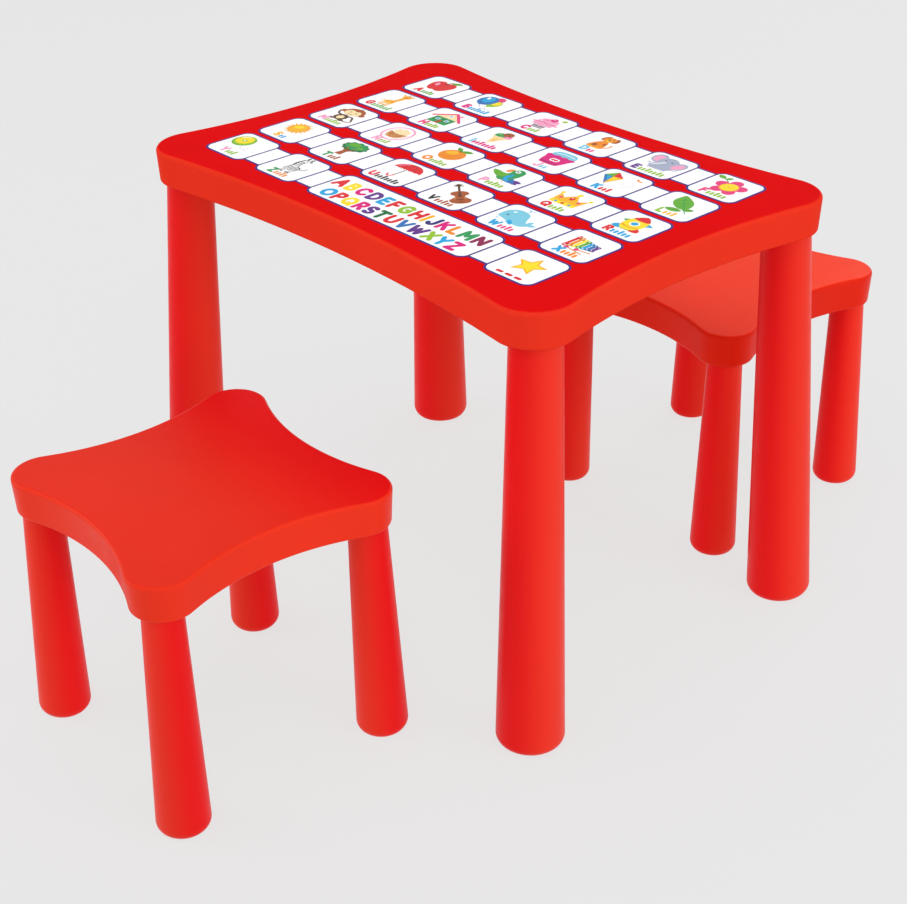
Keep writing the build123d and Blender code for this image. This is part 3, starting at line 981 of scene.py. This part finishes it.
def xylophone(card):
    card.paint("black", polygon((-14, 13), (-14, 10), (16, 7), (16, 9.4)),
               polygon((-14, -6), (-14, -3), (16, 0.4), (16, -2)))
    for k, colour in enumerate(("red", "orange", "yellow", "leaf", "cyan", "blue", "purple")):
        card.paint(colour, rounded_box(-12 + 4.3 * k, 3.6, 3.4, 24 - 2.1 * k, 1))
    card.paint("white", *[oval(-12 + 4.3 * k, 3.6 + side * (9.4 - 0.85 * k), 0.6) for k in range(7)
                          for side in (1, -1)])
    card.paint("tan", stroke(1.1, (-6, -9), (12, -12)), stroke(1.1, (4, -7.4), (17, -6)))
    card.paint("rose", oval(-7, -8.8, 2.2), oval(3, -7.5, 2.2))


def yo_yo(card):
    card.paint("pale_grey", stroke(0.7, (-2, 1), (2, -5), (8, -6), (10, -2), (7, 0), (6, -4), (12, -7),
                                   (18, -4), (21, 0)))
    card.paint("leaf", oval(-10.2, 9.4, 12.2))
    card.paint("lime", oval(-10.6, 10.2, 11.4))
    card.paint("yellow", oval(-11.2, 11, 9))
    card.paint("lime", oval(-10.6, 10.2, 2.6))
    card.paint("white", oval(-10.6, 10.2, 1.2), stroke(1, (-18, 14), (-16, 17.4), (-12.6, 19)))


def zebra(card):
    legs = (-5, -2, 4, 7)
    card.paint("black", smooth((-7.4, -4), (-6, 2), (0, 4), (7, 3.4), (9, -1), (7, -5.6), (-5, -6)),
               smooth((-5, 2), (-7, 10), (-6, 18), (0, 22), (4, 19), (0, 16), (1, 8), (3, 3)),
               *[stroke(2.2, (x, -4), (x, -12)) for x in legs], stroke(1, (9, 0), (13, 2), (14, 6)),
               leaf(-4, 20, -5, 26, 2.6), leaf(0, 21, 1.6, 26, 2.4))
    card.paint("white", smooth((-6.6, -3.6), (-5.4, 1.4), (0, 3.2), (6.6, 2.6), (8.2, -1), (6.4, -5),
                               (-4.4, -5.2)),
               smooth((-4.2, 2), (-6, 10), (-5.2, 17.4), (0, 21), (3, 19), (-1, 16), (0, 8), (2, 3)),
               *[stroke(1.2, (x, -4), (x, -10)) for x in legs])
    card.paint("black", *[stroke(1.3, (x, 2.4), (x, -4.4)) for x in (-4.6, -1.8, 1, 3.8, 6.6)],
               *[stroke(1.1, (-5.6, y), (-0.8, y + 0.8)) for y in (5, 8, 11, 14)],
               stroke(1.8, (-5.4, 5), (-7, 11), (-5.6, 19)), oval(3, 19.2, 1.5, 1.2), oval(-1.6, 18.6, 0.7))


def plain_star(card):
    """A plain star for the last card."""
    card.paint("gold", star(0, 3, 19, 9, 5))
    card.paint("yellow", star(0, 3, 14.4, 6.8, 5))
    card.paint("red", *[rounded_box(x, -24, 9, 4, 2) for x in (-12, 0, 12)])


# letter, its colour, the colour and number of the marks after it, and its picture
CARDS = (
    ("A", "red", "leaf", 4, apple), ("B", "magenta", "cyan", 6, balloons),
    ("C", "magenta", "lime", 3, cake), ("D", "sky", "rose", 2, dog),
    ("E", "purple", "lime", 7, elephant), ("F", "rose", "lime", 5, flower),
    ("G", "red", "leaf", 6, giraffe), ("H", "rose", "lime", 4, house),
    ("I", "sky", "magenta", 7, ice_cream), ("J", "pink", "sky", 2, jam),
    ("K", "cyan", "red", 3, kite), ("L", "lime", "gold", 3, leaves),
    ("M", "pink", "lime", 5, monkey), ("N", "pink", "lime", 3, nest),
    ("O", "orange", "lime", 5, orange), ("P", "pink", "lime", 5, parrot),
    ("Q", "red", "lime", 4, crown), ("R", "red", "cyan", 5, rocket),
    ("S", "gold", "cyan", 2, sun), ("T", "green", "brown", 3, tree),
    ("U", "red", "black", 7, umbrella), ("V", "black", "brown", 5, violin),
    ("W", "cyan", "rose", 4, whale), ("X", "cyan", "orange", 4, xylophone),
    ("Y", "pink", "lime", 3, yo_yo), ("Z", "green", "orange", 4, zebra),
)
INITIAL_HEIGHT = 12.6
INITIAL_WEIGHT = 3.1
BASELINE = -25.5
MARK_GAP = 1.6  # between the initial and the first mark
MARK_WIDTH = 3.0
MARK_PITCH = 5.0
MARK_LOW = 7.4  # height of a short mark
MARK_TALL = 10.4

# letters, height of the line's foot, its length, and the letters' colours
PANEL_LINES = (
    ("ABCDEFGHIJKLMN", -0.4, 226.0,
     "red yellow magenta purple cyan red lime red gold navy magenta orange green maroon"),
    ("OPQRSTUVWXYZ", -26.4, 206.0,
     "cyan red yellow magenta purple dark_green red blue purple lime cyan magenta"),
)
PANEL_CAP = 20.2
PANEL_WEIGHT = 5.1
PANEL_SHIFT = -2.0  # the lines stand a little left of the panel's middle


def print_white(centre, width):
    """The white of one card or panel, inside its violet outline."""
    card = Card(centre)
    inset = 2 * OUTLINE
    card.paint("white", rounded_box(0, 0, width - inset, CARD_SIZE - inset, CARD_CORNER - OUTLINE))
    return card


def print_bridge(row, column):
    """The white between a card and the next one."""
    x, y = card_centre(row, column)
    card = Card((x + CARD_PITCH / 2 * MM, y))
    length, width = CARD_PITCH - CARD_SIZE, BRIDGE_WIDTH - 2 * OUTLINE
    card.paint("white", rounded_box(0, 0, length, width, BRIDGE_CORNER))


def print_marks(card, colour, x, count):
    """Upright rounded marks where a word would stand, every third one tall."""
    marks = []
    for k in range(count):
        height = MARK_TALL if k % 3 == 2 else MARK_LOW
        middle = x + MARK_WIDTH / 2 + k * MARK_PITCH
        low, high = BASELINE + MARK_WIDTH / 2, BASELINE + height - MARK_WIDTH / 2
        marks.append(stroke(MARK_WIDTH, (middle, low), (middle, high)))
    card.paint(colour, *marks)


def print_cards():
    for index, (letter, colour, mark_colour, marks, picture) in enumerate(CARDS):
        row, column = index // CARD_COLUMNS + 1, index % CARD_COLUMNS + 1
        card = print_white(card_centre(row, column), CARD_SIZE)
        card.zoom = PICTURE_ZOOM
        picture(card)
        card.zoom = 1.0
        width = capital_width(letter, INITIAL_HEIGHT, INITIAL_WEIGHT)
        left = -(width + MARK_GAP + (marks - 1) * MARK_PITCH + MARK_WIDTH) / 2
        print_marks(card, mark_colour, left + width + MARK_GAP, marks)
        card.letter(colour, letter, left, BASELINE, INITIAL_HEIGHT, INITIAL_WEIGHT)
    plain_star(print_white(card_centre(PANEL_ROW, CARD_COLUMNS), CARD_SIZE))


def print_panel():
    first, last = PANEL_COLUMNS
    x, y = card_centre(PANEL_ROW, first)
    span = (last - first) * CARD_PITCH
    card = print_white((x + span / 2 * MM, y), span + CARD_SIZE)
    card.layer += 1
    for letters, foot, length, colours in PANEL_LINES:
        widths = [capital_width(letter, PANEL_CAP, PANEL_WEIGHT) for letter in letters]
        gap = (length - sum(widths)) / (len(letters) - 1)
        left = PANEL_SHIFT - length / 2
        for letter, width, colour in zip(letters, widths, colours.split()):
            card.letter(colour, letter, left, foot, PANEL_CAP, PANEL_WEIGHT)
            left += width + gap


def print_stickers():
    for row in range(1, CARD_ROWS + 1):
        for column in range(1, CARD_COLUMNS):
            inside_panel = row == PANEL_ROW and PANEL_COLUMNS[0] <= column < PANEL_COLUMNS[1]
            if not inside_panel:
                print_bridge(row, column)
    print_cards()
    print_panel()
    finish_inks()


# ------------------------------------------------------------------ moulding details
GATE_RADIUS = 2.6  # the mark left where the melt entered, in millimetres
GATE_HEIGHT = 0.35


def add_gate_mark(stool):
    """A tiny raised ring with a nub, at the middle of a seat."""
    low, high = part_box(f"{stool}_seat")
    middle = ((low + high) / 2).x, ((low + high) / 2).y
    # radius and height of each turn of the profile, from the middle outwards
    profile = ((0.5, 0.8), (0.9, 0.55), (1.3, 0.25), (1.9, 0.3), (2.3, 0.9), (2.6, 0.5), (2.75, -0.2))
    steps = 32
    vertices = [(middle[0], middle[1], high.z + GATE_HEIGHT * MM)]
    for radius, height in profile:
        for k in range(steps):
            angle = math.tau * k / steps
            reach = radius / profile[-2][0] * GATE_RADIUS * MM
            z = high.z + height * GATE_HEIGHT * MM
            vertices.append((middle[0] + reach * math.cos(angle), middle[1] + reach * math.sin(angle), z))
    faces = [(0, 1 + k, 1 + (k + 1) % steps) for k in range(steps)]
    for turn in range(len(profile) - 1):
        inner, outer = 1 + turn * steps, 1 + (turn + 1) * steps
        for k in range(steps):
            following = (k + 1) % steps
            faces.append((inner + k, outer + k, outer + following, inner + following))
    last = 1 + (len(profile) - 1) * steps
    faces.append(tuple(last + k for k in reversed(range(steps))))
    mesh = bpy.data.meshes.new(f"{stool}_gate_mark")
    mesh.from_pydata(vertices, [], faces)
    mesh.materials.append(bpy.data.materials["plastic_seat"])
    mark = bpy.data.objects.new(f"{stool}_gate_mark", mesh)
    bpy.context.scene.collection.objects.link(mark)
    for polygon_face in mesh.polygons:
        polygon_face.use_smooth = True
    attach(mark, stool)


print_stickers()
for stool_name in STOOLS:
    add_gate_mark(stool_name)
